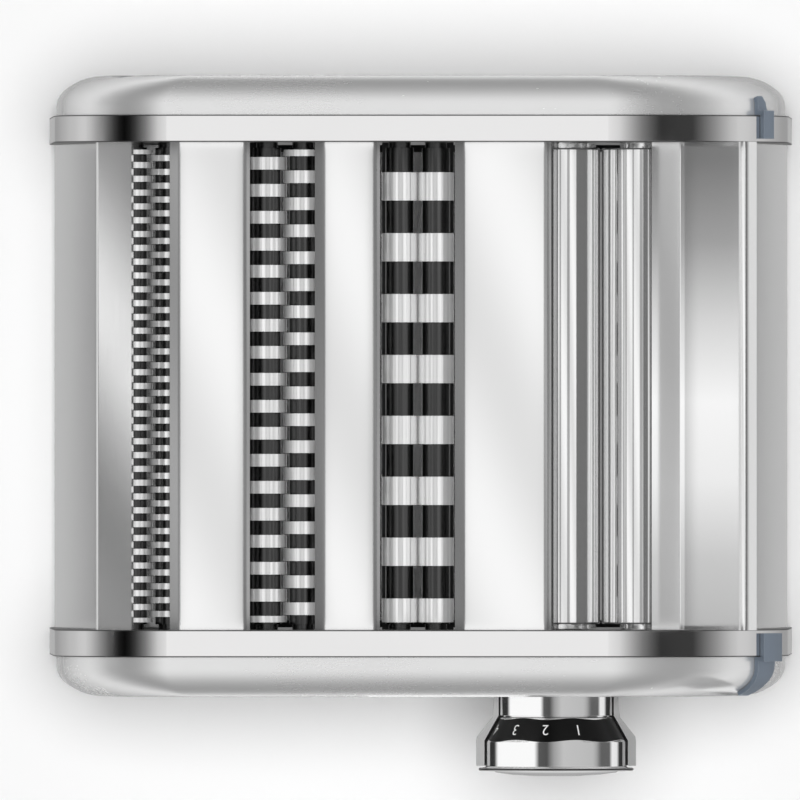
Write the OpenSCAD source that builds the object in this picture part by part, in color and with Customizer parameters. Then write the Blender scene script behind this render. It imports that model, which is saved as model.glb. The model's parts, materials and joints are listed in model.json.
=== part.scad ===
// Pasta roller machine with a built-in sheet roller and three ribbon cutters.
// Rollers and cutters run along Y. The adjusting knob is at -Y and the crank
// sockets are at +Y. Z = 0 is the table under the rubber feet.

/* [Body] */
// Clear width between the two side plates
inner_w = 155.4; // [145:0.2:175]
// From the -X end of the frame to the middle of the fine cutter
end_to_fine = 33.7; // [33:0.1:45]
// From the middle of the fine cutter to the medium cutter
fine_to_medium = 42.7; // [40:0.1:55]
// From the middle of the medium cutter to the wide cutter
medium_to_wide = 42.3; // [40:0.1:55]
// From the middle of the wide cutter to the knob's axis
wide_to_knob = 44.15; // [42:0.05:55]
// From the fixed roller's axis to the frame's +X end
roller_to_end = 49.35; // [48:0.05:60]
// How far each end of the frame leans in towards the top
end_lean = 3.7; // [2:0.1:4.5]
// Height of the side plates' top edge above the table
frame_h = 140; // [125:0.5:160]
// Radius of the corner over the cutters
frame_r_cut = 36; // [20:1:40]
// Radius of the corner over the smooth rollers
frame_r_roll = 58; // [45:1:62]
// Width of the polished rim around each side plate
rim_w = 8.6; // [7:0.1:12]
// Sheet thickness of the side plates' web
web_t = 2; // [1.5:0.1:2.5]
// Thickness of the polished rim
rim_t = 1.8; // [1.2:0.1:2.4]
// Depth of the lip that the side cover seats on
lip_d = 6; // [5:0.1:8]

/* [Side covers] */
// How far each cover stands out from its rim
cover_d = 12.7; // [11:0.1:16]
// Step between the rim's edge and the cover's edge
cover_step = 2.2; // [1:0.1:3]
// Wall of the covers
cover_t = 1.5; // [1:0.1:2]
// Rounding of the covers at the two ends
cover_r_end = 14; // [8:0.5:16]
// Rounding of the covers along the top
cover_r_top = 4; // [2:0.5:6]

/* [Feet and base] */
// Height of the rubber feet
foot_h = 8; // [5:0.5:12]
// Width of each foot
foot_w = 13; // [9:0.5:16]
// Inset of a foot from the ends of the side plate
foot_inset = 8; // [4:1:20]
// Radius of the table clamp's hole
clamp_hole_r = 4.6; // [3:0.1:6]
// Thickness of the clamp plate
clamp_plate_t = 3; // [2:0.1:5]
// Length of the clamp plate along the machine
clamp_plate_l = 34; // [26:1:44]

/* [Plates] */
// Sheet thickness of the deck and end plates
plate_t = 1.2; // [0.8:0.1:1.4]
// Depth of the flat deck below the frame's top edge
deck_drop = 8; // [6:0.1:8.4]
// Height of the sheet hopper's upper edge over the frame
hopper_rise = 7; // [2:0.2:16]
// Level shelf of the hopper beside the fixed roller
hopper_shelf = 9.9; // [6:0.1:12]
// Length in plan of the hopper's slope
hopper_slope = 19.3; // [14:0.1:20]
// Length in plan of the hopper's rolled edge
hopper_edge = 4; // [3:0.1:6]

/* [Smooth rollers] */
// Radius of the two smooth rollers
roller_r = 12.8; // [12:0.1:13.2]
// Depth of the rollers' axes below the frame's top edge
roller_drop = 32; // [31:0.5:34]
// Clearance between the rollers' ends and the side plates
end_clear = 1.8; // [1.2:0.1:4]
// Throw of the eccentric shaft
ecc = 1.4; // [1:0.1:1.5]
// Gap between the rollers at the finest setting
gap_min = 0.2; // [0.1:0.1:0.6]
// Radius of the fixed roller's journals
journal_r = 7; // [6:0.1:7.5]
// Radius of the adjustable roller's necks
neck_r = 9; // [8.6:0.1:9.4]
// Radius of the eccentric part of the shaft
ecc_r = 6.6; // [6.5:0.1:6.8]
// Radius of the eccentric shaft's end journals
ecc_journal_r = 5; // [4:0.1:5.1]
// Length of each bush in the adjustable roller
bush_l = 21.8; // [12:0.1:30]
// Depth of the scraper blades below the rollers
scraper_d = 17; // [14:0.5:20]
// Teeth of each roller gear
roller_teeth = 12; // [10:1:13]
// Width of the gears
gear_w = 6.5; // [4:0.5:7]
// Thinning of the roller gears' teeth, for the changing centre distance
roller_backlash = 0.85; // [0.8:0.05:1]

/* [Cutters] */
// Distance between the two axes of a cutter
cut_c = 11.6; // [11.4:0.1:12]
// Depth of the cutters' axes below the frame's top edge
cut_drop = 18; // [17.5:0.5:19]
// Radius of the fine and medium cutting discs
disc_r = 6.3; // [6.1:0.05:6.4]
// Radius of the cutter rolls in their grooves
core_r = 4.5; // [4:0.1:4.6]
// Pitch of the fine cutter's discs
fine_pitch = 4.4; // [3.6:0.1:6]
// Pitch of the medium cutter's discs
medium_pitch = 8.6; // [7:0.1:11]
// Pitch of the wide cutter's lands
wide_pitch = 19.4; // [15:0.1:24]
// Width of a land on the wide cutter
wide_land = 9; // [6:0.1:11]
// Distance from the middle of the rolls to the wide cutter's middle gap
wide_phase = 5.4; // [-9:0.1:9]
// Side clearance between a disc and the groove that it turns in
disc_side_clear = 0.3; // [0.2:0.05:0.5]
// Gap between the lands of the wide cutter's two rolls
wide_nip = 0.2; // [0.1:0.05:0.4]
// Radius of the cutter rolls' journals
cut_journal_r = 3.5; // [3:0.1:3.8]
// Teeth of each cutter gear
cut_teeth = 12; // [10:1:14]
// Thinning of the cutter gears' teeth
cut_backlash = 0.35; // [0.3:0.05:0.5]
// Clearance between a driven gear and its neighbour's hub
gear_side_clear = 0.5; // [0.3:0.1:1]

/* [Crank sockets] */
// Radius of the crank sockets
socket_r = 4.1; // [3.4:0.1:4.4]
// Depth of the smooth rollers' crank socket
socket_d = 12; // [8:0.5:13]
// Depth of the cutters' crank sockets
cut_socket_d = 8; // [6:0.5:8]
// Width of the cross slot that takes the crank's pin
socket_slot = 2.2; // [1.5:0.1:2.6]

/* [Adjusting knob] */
// Radius of the chrome collar on the cover
collar_r = 18.1; // [16:0.1:18.4]
// Length of the collar
collar_l = 6.6; // [5:0.1:8]
// Largest radius of the number ring
ring_r = 22.4; // [21:0.1:23]
// Length of the number ring
ring_l = 7.7; // [6:0.1:9]
// Length of the knob's drum up to its lip
drum_l = 8.3; // [6:0.1:9]
// Radius of the knob's lip
lip_r = 24.7; // [24:0.1:26]
// Length of the lip
lip_l = 1; // [0.8:0.1:2]
// Height of the domed cap
cap_h = 1.7; // [1.2:0.1:3]
// Number of settings on the dial
settings = 7; // [5:1:9]
// Angle between two settings
setting_step = 30; // [20:1:30]
// Angle of the index pin from straight up, towards the hopper
index_angle = 20; // [-30:1:60]
// Pull of the knob
knob_pull = 4; // [2:0.5:4.5]

/* [Fits] */
// Radial clearance of every running shaft
run_clear = 0.05; // [0.03:0.01:0.08]
// Clearance of blocks in the side plates' windows
window_clear = 0.1; // [0.05:0.05:0.3]
// Clearance of a scraper or comb from what it cleans
scrape_clear = 0.35; // [0.3:0.05:0.5]
// Radius of the tie rods
rod_r = 4.5; // [4:0.1:6]
// Radius of the tie rods' studs in the side plates
stud_r = 3; // [2.5:0.1:3.5]

/* [Hidden] */
$fn = 64;
eps = 0.01;
steel = [0.78, 0.78, 0.79];
chrome = [0.86, 0.86, 0.87];
dark = [0.32, 0.32, 0.33];
black = [0.06, 0.06, 0.06];
plastic = [0.85, 0.84, 0.8];
zinc = [0.6, 0.64, 0.69];
brass = [0.75, 0.6, 0.32];
rubber = [0.1, 0.1, 0.1];

y_in = inner_w / 2;              // inner face of a side plate
y_web = y_in + web_t;            // outer face of its web
y_rim = y_in + rim_w;            // outer edge of its rim
y_out = y_rim + cover_d;         // outer face of a cover
y_cov = y_out - cover_t;         // inner face of a cover
y_boss = y_out - 9;              // end of the covers' bosses and of the rods' studs
y_gear = y_web + 2.8;            // inner face of the gears
y_gear_out = y_gear + gear_w;
y_shaft = y_out - 1;             // end of the driven shafts, in the cover's openings
cut_hub_r = socket_r + 2;        // round end of a driven cutter shaft
roll_end = y_in - end_clear;     // half the length of every roll

// stations along the machine, from the -X end
roller_c = 2 * roller_r + gap_min;
frame_l = end_to_fine + fine_to_medium + medium_to_wide + wide_to_knob
    + ecc + roller_c + roller_to_end;
frame_top_l = frame_l - 2 * end_lean;
fine_x = -frame_l / 2 + end_to_fine;
medium_x = fine_x + fine_to_medium;
wide_x = medium_x + medium_to_wide;
knob_x = wide_x + wide_to_knob;
adj_x = knob_x + ecc;            // at setting 1, the finest
fixed_x = adj_x + roller_c;

// heights
cut_z = frame_h - cut_drop;
deck_z = frame_h - deck_drop;
roller_z = frame_h - roller_drop;
hopper_z = frame_h + hopper_rise;
cut_list = [fine_x, medium_x, wide_x];
wide_r = cut_c / 2 - wide_nip / 2;

// frame outline, counter-clockwise in X and Z
frame_pts = [
    [-frame_l / 2, foot_h], [frame_l / 2, foot_h],
    [frame_top_l / 2, frame_h], [-frame_top_l / 2, frame_h]
];
frame_rad = [3, 3, frame_r_roll, frame_r_cut];

rods = [
    [-frame_l / 2 + 15.7, foot_h + 32], [(fine_x + medium_x) / 2 - 1.35, frame_h - 56],
    [wide_x + 21, frame_h - 56], [frame_l / 2 - 21.7, foot_h + 52]
];

// ---------- plane geometry ----------

function unit(v) = v / norm(v);
function left(v) = [-v[1], v[0]];

// meeting point of line p + s*u and line q + t*v
function meet(p, u, q, v) =
    let (d = u[0] * v[1] - u[1] * v[0], w = q - p)
    p + u * ((w[0] * v[1] - w[1] * v[0]) / d);

// convex outline moved in by d (out when d is negative)
function inset(pts, d) = let (n = len(pts)) [
    for (i = [0:n - 1])
        let (
            a = pts[(i + n - 1) % n], b = pts[i], c = pts[(i + 1) % n],
            u = unit(b - a), v = unit(c - b)
        )
        meet(a + left(u) * d, u, b + left(v) * d, v)
];

function corner_half(a, b, c) = acos((unit(a - b) * unit(c - b))) / 2;

// convex outline with true round corners
module round_outline(pts, rad) {
    n = len(pts);
    ends = [
        for (i = [0:n - 1])
            let (
                a = pts[(i + n - 1) % n], b = pts[i], c = pts[(i + 1) % n],
                h = corner_half(a, b, c), s = rad[i] / tan(h)
            )
            each [b + unit(a - b) * s, b + unit(c - b) * s]
    ];
    polygon(ends);
    for (i = [0:n - 1]) {
        a = pts[(i + n - 1) % n];
        b = pts[i];
        c = pts[(i + 1) % n];
        h = corner_half(a, b, c);
        translate(b + unit(unit(a - b) + unit(c - b)) * rad[i] / sin(h))
            circle(r = rad[i], $fn = 96);
    }
}

module frame_outline(d) {
    round_outline(inset(frame_pts, d), [for (r = frame_rad) max(r - d, 0.6)]);
}

// open path thickened by t to its right
function side_pts(p, t) = let (n = len(p)) [
    for (i = [0:n - 1])
        let (
            u = unit(p[max(i, 1)] - p[max(i, 1) - 1]),
            v = unit(p[min(i + 1, n - 1)] - p[min(i + 1, n - 1) - 1]),
            m = unit(-left(u) - left(v)),
            k = t / (m * -left(u))
        )
        p[i] + m * k
];
function reversed(p) = [for (i = [len(p) - 1:-1:0]) p[i]];

// path with its inner corners rounded, the bends of a folded sheet
function bend(p, r, n = 5) = [
    for (i = [0:len(p) - 1])
        if (i == 0 || i == len(p) - 1) p[i]
        else let (
            u = unit(p[i - 1] - p[i]), v = unit(p[i + 1] - p[i]),
            h = acos(u * v) / 2,
            s = min(r / tan(h), norm(p[i - 1] - p[i]) * 0.45, norm(p[i + 1] - p[i]) * 0.45)
        )
        each [for (k = [0:n]) let (f = k / n)
            p[i] + u * s * (1 - f) * (1 - f) + v * s * f * f]
];

// folded sheet of thickness t, full width between the side plates
module sheet(path, r = 3, t = plate_t, w = inner_w) {
    p = bend(path, r);
    along_y(-w / 2, w / 2) polygon(concat(p, reversed(side_pts(p, t))));
}

// extrude an X-Z drawing from y0 to y1
module along_y(y0, y1) {
    translate([0, y1, 0]) rotate([90, 0, 0]) linear_extrude(y1 - y0) children();
}

module rod_y(x, z, r, y0, y1) {
    translate([x, y0, z]) rotate([-90, 0, 0]) cylinder(r = r, h = y1 - y0);
}

// revolve [radius, y] points about a line along Y
module turned(x, z, pts) {
    translate([x, 0, z]) rotate([-90, 0, 0]) rotate_extrude() polygon(pts);
}

// mirror to the knob side when side is -1
module on_side(side) {
    if (side < 0) mirror([0, 1, 0]) children();
    else children();
}

// ---------- gears ----------

function inv_deg(a) = tan(a) * 180 / PI - a;

// spur gear drawing with involute flanks
module gear_outline(teeth, pitch_r, add, ded, thin) {
    m = 2 * pitch_r / teeth;
    base_r = pitch_r * cos(20);
    tip_r = pitch_r + add * m;
    root_r = pitch_r - ded * m;
    tooth = PI * m / 2 - thin;
    start_r = max(root_r, base_r);
    radii = [root_r, start_r + eps, start_r + (tip_r - start_r) * 0.35,
        start_r + (tip_r - start_r) * 0.7, tip_r];
    half = [for (r = radii)
        let (q = max(r, base_r))
        tooth / (2 * pitch_r) * 180 / PI + inv_deg(20) - inv_deg(acos(base_r / q))];
    polygon([
        for (i = [0:teeth - 1])
            let (c = 360 * i / teeth)
            each concat(
                [for (k = [0:4]) radii[k] * [cos(c - half[k]), sin(c - half[k])]],
                [for (k = [4:-1:0]) radii[k] * [cos(c + half[k]), sin(c + half[k])]]
            )
    ]);
}

// crank socket: a blind bore of depth d with a cross slot, open towards +Y at y
module socket(x, z, y, d) {
    rod_y(x, z, socket_r, y - d, y + 1);
    translate([x - socket_slot / 2, y - 5, z - socket_r - 1])
        cube([socket_slot, 6, 2 * socket_r + 2]);
}

// ---------- frames, covers, base ----------

module stud_holes(r, y0, y1) {
    for (p = rods) rod_y(p[0], p[1], r, y0, y1);
}

module side_plate_body() {
    difference() {
        union() {
            along_y(y_in, y_web) frame_outline(0);
            along_y(y_web - eps, y_rim) difference() {
                frame_outline(0);
                frame_outline(rim_t);
            }
            along_y(y_rim - 1.6, y_rim) difference() {
                frame_outline(0);
                frame_outline(lip_d);
            }
        }
        stud_holes(stud_r + window_clear, y_in - 1, y_web + 1);
        for (x = cut_list) bearing_window(x, window_clear, y_in - 1, y_web + 1);
    }
}

module bearing_window(x, grow, y0, y1) {
    w = cut_c + 14 + 2 * grow;
    h = 13 + 2 * grow;
    translate([x - w / 2, y0, cut_z - h / 2]) cube([w, y1 - y0, h]);
}

module side_plate_knob_side() {
    color(chrome) difference() {
        mirror([0, 1, 0]) side_plate_body();
        rod_y(knob_x, roller_z, 8, -y_web - 1, -y_in + 1);
        rod_y(fixed_x, roller_z, journal_r + 2, -y_web - 1, -y_in + 1);
    }
}

module side_plate_crank_side() {
    color(chrome) difference() {
        side_plate_body();
        rod_y(knob_x, roller_z, neck_r + ecc + 0.8, y_in - 1, y_web + 1);
        rod_y(fixed_x, roller_z, journal_r + 2, y_in - 1, y_web + 1);
    }
}

// points round the frame outline moved in by d, n steps on each corner
function arc_at(p, a, c, r, n) =
    let (
        h = corner_half(a, p, c), o = p + unit(unit(a - p) + unit(c - p)) * r / sin(h),
        s0 = p + unit(a - p) * r / tan(h) - o, s1 = p + unit(c - p) * r / tan(h) - o,
        a0 = atan2(s0[1], s0[0]), a1 = atan2(s1[1], s1[0]), span = (a1 - a0 + 360) % 360
    )
    [for (k = [0:n]) o + r * [cos(a0 + span * k / n), sin(a0 + span * k / n)]];
function outline_pts(d, n) =
    let (p = inset(frame_pts, d), m = len(p)) [
        for (i = [0:m - 1])
            each arc_at(p[i], p[(i + m - 1) % m], p[(i + 1) % m], max(frame_rad[i] - d, 0.6), n)
    ];

corner_n = 14;
round_n = 8;
mid_z = (frame_h + foot_h) / 2;
// ring k of the cover's form, moved in by d; ring 0 is at the rim
function cover_ring(k, d) =
    let (
        a = k < 2 ? 0 : 90 * (k - 1) / round_n,
        y = k == 0 ? y_rim : y_rim + (cover_d - d) * (0.3 + 0.7 * sin(a)),
        sx = 1 - 2 * (1 - cos(a)) * (cover_r_end - d) / frame_l,
        sz = 1 - 2 * (1 - cos(a)) * (cover_r_top - d * 0.5) / (frame_h - foot_h)
    )
    [for (p = outline_pts(cover_step + d, corner_n)) [p[0] * sx, y, mid_z + (p[1] - mid_z) * sz]];

// drawn cover: outer and inner rings joined at the open edge
module cover_skin() {
    m = 4 * (corner_n + 1);
    r = round_n + 1;
    outer = [for (k = [0:r]) each cover_ring(k, 0)];
    inner = [for (k = [0:r]) each cover_ring(k, cover_t)];
    off = len(outer);
    side = [for (k = [0:r - 1], i = [0:m - 1]) let (j = (i + 1) % m) [
        [k * m + i, k * m + j, (k + 1) * m + j], [k * m + i, (k + 1) * m + j, (k + 1) * m + i]
    ]];
    polyhedron(concat(outer, inner), concat(
        [for (q = side) each q],
        [for (q = side) each [for (f = q) [f[2] + off, f[1] + off, f[0] + off]]],
        [for (i = [0:m - 1]) let (j = (i + 1) % m) each [[j, i, off + i], [j, off + i, off + j]]],
        [[for (i = [0:m - 1]) r * m + i], [for (i = [m - 1:-1:0]) off + r * m + i]]
    ));
}

module cover_shell() {
    difference() {
        union() {
            cover_skin();
            for (p = rods) rod_y(p[0], p[1], 5.4, y_boss, y_cov + 0.5);
        }
        stud_holes(1.9, y_boss - 1, y_out + 1);
        stud_holes(3.6, y_out - 2.6, y_out + 1);
    }
}

module cover_knob_side() {
    color(chrome) difference() {
        mirror([0, 1, 0]) cover_shell();
        rod_y(knob_x, roller_z, 8, -y_out - 1, -y_cov + 1);
    }
}

module cover_crank_side() {
    color(chrome) difference() {
        union() {
            cover_shell();
            rod_y(knob_x, roller_z, 9, y_gear_out + 1.2, y_cov + 0.5);
        }
        rod_y(knob_x, roller_z, 7, y_gear_out, y_cov - 0.4);
        rod_y(fixed_x, roller_z, 9, y_cov - 1, y_out + 1);
        for (x = cut_list)
            rod_y(x - cut_c / 2, cut_z, cut_hub_r + 0.8, y_cov - 1, y_out + 1);
    }
}

// countersunk-flush screws of one cover
module cover_screw_set(side) {
    on_side(side) for (p = rods) {
        turned(p[0], p[1], [
            [0, y_boss - 6], [1.5, y_boss - 6], [1.5, y_out - 2.6],
            [3.4, y_out - 2.6], [3.4, y_out - 0.9], [2.6, y_out - 0.3], [0, y_out - 0.3]
        ]);
    }
}
module cover_screws_knob_side() { color(steel) cover_screw_set(-1); }
module cover_screws_crank_side() { color(steel) cover_screw_set(1); }

module tie_rod(p) {
    color(steel) difference() {
        union() {
            rod_y(p[0], p[1], rod_r, -y_in, y_in);
            rod_y(p[0], p[1], stud_r, -y_boss, y_boss);
        }
        rod_y(p[0], p[1], 1.5, y_boss - 8, y_boss + 1);
        rod_y(p[0], p[1], 1.5, -y_boss - 1, -y_boss + 8);
    }
}

module rod_nuts() {
    color(steel) for (side = [-1, 1], p = rods) on_side(side) difference() {
        translate([p[0], y_web, p[1]]) rotate([-90, 0, 0]) cylinder(r = 5.6, h = 4, $fn = 6);
        rod_y(p[0], p[1], stud_r, y_web - 1, y_web + 5);
    }
}

// folded clamp plate across the foot of the machine
module base_crossbar() {
    x0 = -frame_l / 2 + 10;
    z0 = foot_h + 3;
    color(steel) difference() {
        union() {
            translate([x0, -y_in, z0]) cube([clamp_plate_l, inner_w, clamp_plate_t]);
            for (x = [x0, x0 + clamp_plate_l - clamp_plate_t])
                translate([x, -y_in, z0]) cube([clamp_plate_t, inner_w, 10]);
        }
        translate([x0 + clamp_plate_l / 2, 0, z0 - 1])
            cylinder(r = clamp_hole_r, h = clamp_plate_t + 2);
    }
}

module foot_strip() {
    l = frame_l - 2 * foot_inset;
    y0 = y_in + rim_w / 2 - foot_w / 2;
    color(rubber) difference() {
        along_y(y0, y0 + foot_w) polygon([
            [-l / 2, foot_h], [-l / 2 + 3, 0], [l / 2 - 3, 0], [l / 2, foot_h]
        ]);
        for (i = [-2:2])
            translate([i * l / 6 - 9, y0 - 1, -1]) cube([18, foot_w + 2, 3]);
    }
}
module foot_knob_side() { mirror([0, 1, 0]) foot_strip(); }
module foot_crank_side() { foot_strip(); }

// ---------- plates between the side plates ----------

fold_l = -frame_l / 2 + 16.2;
edge_l = fine_x - cut_c / 2 - 0.4;
module left_end_plate() {
    color(steel) sheet([
        [-frame_l / 2 + 9, foot_h + 1.6], [-frame_l / 2 + 1.4, foot_h + 1.6],
        [fold_l, deck_z - 7.6], [edge_l, deck_z - 0.6]
    ], 2);
}

// flat plate whose long edges are turned down a little
module deck_plate(x0, x1) {
    color(steel) sheet([
        [x0, deck_z - 0.6], [x0 + 2.9, deck_z], [x1 - 1.6, deck_z], [x1, deck_z - 0.5]
    ], 6);
}
module deck_plate_1() { deck_plate(fine_x + 6, medium_x - 11.2); }
module deck_plate_2() { deck_plate(medium_x + 9.5, wide_x - 12.1); }

// deck in front of the hopper, with a lip that stands over the adjustable roller
module hopper_front_plate() {
    color(steel) sheet([
        [wide_x + 11.8, deck_z - 0.6], [wide_x + 14.7, deck_z], [knob_x - 3.4, deck_z],
        [knob_x - 1, deck_z - 0.8], [knob_x + 0.1, roller_z + roller_r + ecc + 2.8]
    ], 5);
}

hopper_foot = [fixed_x + 3.2, roller_z + roller_r + 2.6];
hopper_top = [hopper_foot[0] + hopper_shelf + hopper_slope, hopper_z];
module hopper_rear_plate() {
    color(steel) sheet([
        hopper_foot, hopper_foot + [hopper_shelf, 0.9],
        hopper_top, hopper_top + [hopper_edge, -4.6]
    ], 3);
}

module right_end_plate() {
    top = [hopper_top[0] + hopper_edge, deck_z - 14];
    color(steel) sheet([
        top + [-10.4, 7], top,
        [frame_l / 2 - 1.4, foot_h + 1.6], [frame_l / 2 - 9, foot_h + 1.6]
    ], 2);
}

// ---------- smooth rollers ----------

module roller_gear_outline() {
    gear_outline(roller_teeth, roller_c / 2, 1, 1.25, roller_backlash);
}

module roller_fixed() {
    color(chrome) difference() {
        union() {
            turned(fixed_x, roller_z, [
                [0, -roll_end], [roller_r - 0.5, -roll_end], [roller_r, -roll_end + 0.5],
                [roller_r, roll_end - 0.5], [roller_r - 0.5, roll_end], [0, roll_end]
            ]);
            rod_y(fixed_x, roller_z, journal_r, -y_web - 5, y_shaft);
        }
        socket(fixed_x, roller_z, y_shaft, socket_d);
    }
}

module roller_fixed_gear() {
    color(steel) difference() {
        translate([fixed_x, 0, roller_z]) along_y(y_gear, y_gear_out) roller_gear_outline();
        rod_y(fixed_x, roller_z, journal_r, y_gear - 1, y_gear_out + 1);
    }
}

// flanged bush in a side plate, seen from inside the machine
module flanged_bush(x, z, r_in, r_out, side) {
    on_side(side) difference() {
        union() {
            rod_y(x, z, r_out, y_in, y_web + 0.5);
            rod_y(x, z, r_out + 2, y_web, y_web + 2);
        }
        rod_y(x, z, r_in, y_in - 1, y_web + 3);
    }
}
module roller_bush_knob_side() {
    color(plastic) flanged_bush(fixed_x, roller_z, journal_r + run_clear, journal_r + 2, -1);
}
module roller_bush_crank_side() {
    color(plastic) flanged_bush(fixed_x, roller_z, journal_r + run_clear, journal_r + 2, 1);
}

module roller_adjustable() {
    color(chrome) difference() {
        union() {
            turned(adj_x, roller_z, [
                [0, -roll_end], [roller_r - 0.5, -roll_end], [roller_r, -roll_end + 0.5],
                [roller_r, roll_end - 0.5], [roller_r - 0.5, roll_end], [0, roll_end]
            ]);
            rod_y(adj_x, roller_z, neck_r, -y_in + 0.25, y_gear_out + 0.8);
        }
        rod_y(adj_x, roller_z, ecc_r + 1.4, -y_in - 1, y_gear_out + 2);
    }
}

module roller_adjustable_gear() {
    color(steel) difference() {
        translate([adj_x, 0, roller_z]) rotate([0, -1.5 - 180 / roller_teeth, 0])
            along_y(y_gear, y_gear_out) roller_gear_outline();
        rod_y(adj_x, roller_z, neck_r, y_gear - 1, y_gear_out + 1);
    }
}

module roller_adjustable_bushes() {
    color(plastic) for (y = [[-y_in + 0.25, -y_in + 0.25 + bush_l], [y_gear_out + 0.8 - bush_l, y_gear_out + 0.8]])
        difference() {
            rod_y(adj_x, roller_z, ecc_r + 1.4, y[0], y[1]);
            rod_y(adj_x, roller_z, ecc_r + run_clear, y[0] - 1, y[1] + 1);
        }
}

knob_face = y_out + collar_l + 0.2;      // back of the number ring
knob_web = knob_face + 3.5;              // seat of the spring
shaft_end = knob_web + 7.2;              // end of the eccentric shaft
module eccentric_shaft() {
    color(steel) difference() {
        union() {
            rod_y(adj_x, roller_z, ecc_r, -y_in + 0.15, y_gear_out + 0.9);
            rod_y(knob_x, roller_z, ecc_journal_r, -y_out + 2, y_out - 2.4);
            intersection() {
                rod_y(knob_x, roller_z, ecc_journal_r, -shaft_end, -y_out + 3);
                translate([knob_x - ecc_journal_r * 0.8, -shaft_end - 1, roller_z - ecc_journal_r])
                    cube([ecc_journal_r * 1.6, shaft_end, 2 * ecc_journal_r]);
            }
        }
        rod_y(knob_x, roller_z, 1.6, -shaft_end - 1, -shaft_end + 9);
    }
}
module eccentric_bush_knob_side() {
    color(brass) flanged_bush(knob_x, roller_z, ecc_journal_r + run_clear, 8, -1);
}
module eccentric_bush_crank_side() {
    color(brass) difference() {
        rod_y(knob_x, roller_z, 7, y_gear_out + 1.2, y_cov - 0.6);
        rod_y(knob_x, roller_z, ecc_journal_r + run_clear, y_gear_out, y_cov);
    }
}

// scraper blade under the fixed roller
blade_r = roller_r + scrape_clear;
module roller_fixed_scraper() {
    tip = [fixed_x + blade_r * cos(250), roller_z + blade_r * sin(250)];
    color(steel) sheet([tip, tip + [3, -9], tip + [3, -scraper_d], tip + [9, -scraper_d]], 2);
}

// scraper blade that follows the adjustable roller on two rings
module roller_adjustable_scraper() {
    tip = [adj_x + blade_r * cos(290), roller_z + blade_r * sin(290)];
    w = 2 * (y_in - 0.35);
    color(steel) {
        sheet([tip + [-9, -scraper_d], tip + [-3, -scraper_d], tip + [-3, -9], tip], 2, plate_t, w);
        for (side = [-1, 1]) on_side(side) along_y(w / 2 - 1.2, w / 2) difference() {
            union() {
                translate([adj_x, roller_z]) circle(r = neck_r + 2.4);
                polygon([
                    [adj_x - 8, roller_z - 6], [adj_x + 8, roller_z - 6],
                    tip + [-0.5, -2], tip + [-3.2, -9], tip + [-3.2, -scraper_d], tip + [-9, -scraper_d]
                ]);
            }
            translate([adj_x, roller_z]) circle(r = neck_r + run_clear);
        }
    }
}

// ---------- cutters ----------

// disc edges of one roll: [y0, y1] of every land, phase in pitches
function lands(pitch, width, phase) = [
    for (i = [-20:20])
        let (c = (i + phase) * pitch, a = max(c - width / 2, -roll_end + 0.6),
            b = min(c + width / 2, roll_end - 0.6))
        if (b - a > 0.8) [a, b]
];

module cutter_roll(x, pitch, width, phase, r) {
    p = lands(pitch, width, phase);
    turned(x, cut_z, concat(
        [[0, -roll_end], [core_r, -roll_end]],
        [for (q = p) each [[core_r, q[0]], [r, q[0]], [r, q[1]], [core_r, q[1]]]],
        [[core_r, roll_end], [0, roll_end]]
    ));
}

// which: 0 the driven roll, 1 the drive roll with the crank's hub
module cutter_roll_piece(x, pitch, width, phase, r, drive) {
    color(steel) union() {
        cutter_roll(x, pitch, width, phase, r);
        rod_y(x, cut_z, cut_journal_r, -y_web - 4.5, y_gear_out - 1);
    }
}

module cutter_gear_piece(x, drive) {
    turn = drive ? 0 : 180 / cut_teeth;
    face = drive ? y_gear_out : y_gear_out - gear_side_clear;
    color(steel) difference() {
        union() {
            translate([x, 0, cut_z]) rotate([0, turn, 0]) along_y(y_gear, face)
                gear_outline(cut_teeth, cut_c / 2, 0.85, 1.2, cut_backlash);
            if (drive) rod_y(x, cut_z, cut_hub_r, face - eps, y_shaft);
        }
        rod_y(x, cut_z, cut_journal_r, y_gear - 1, drive ? y_gear_out - 1 : y_gear_out + 1);
        if (drive) socket(x, cut_z, y_shaft, cut_socket_d);
    }
}

medium_land = medium_pitch / 2 - disc_side_clear;
fine_land = fine_pitch / 2 - disc_side_clear;
wide_at = wide_phase / wide_pitch;
module fine_roll_drive() { cutter_roll_piece(fine_x - cut_c / 2, fine_pitch, fine_land, 0, disc_r, true); }
module fine_roll_driven() { cutter_roll_piece(fine_x + cut_c / 2, fine_pitch, fine_land, 0.5, disc_r, false); }
module medium_roll_drive() { cutter_roll_piece(medium_x - cut_c / 2, medium_pitch, medium_land, 0.25, disc_r, true); }
module medium_roll_driven() { cutter_roll_piece(medium_x + cut_c / 2, medium_pitch, medium_land, 0.75, disc_r, false); }
module wide_roll_drive() { cutter_roll_piece(wide_x - cut_c / 2, wide_pitch, wide_land, wide_at, wide_r, true); }
module wide_roll_driven() { cutter_roll_piece(wide_x + cut_c / 2, wide_pitch, wide_land, wide_at, wide_r, false); }

module fine_gear_drive() { cutter_gear_piece(fine_x - cut_c / 2, true); }
module fine_gear_driven() { cutter_gear_piece(fine_x + cut_c / 2, false); }
module medium_gear_drive() { cutter_gear_piece(medium_x - cut_c / 2, true); }
module medium_gear_driven() { cutter_gear_piece(medium_x + cut_c / 2, false); }
module wide_gear_drive() { cutter_gear_piece(wide_x - cut_c / 2, true); }
module wide_gear_driven() { cutter_gear_piece(wide_x + cut_c / 2, false); }

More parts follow.
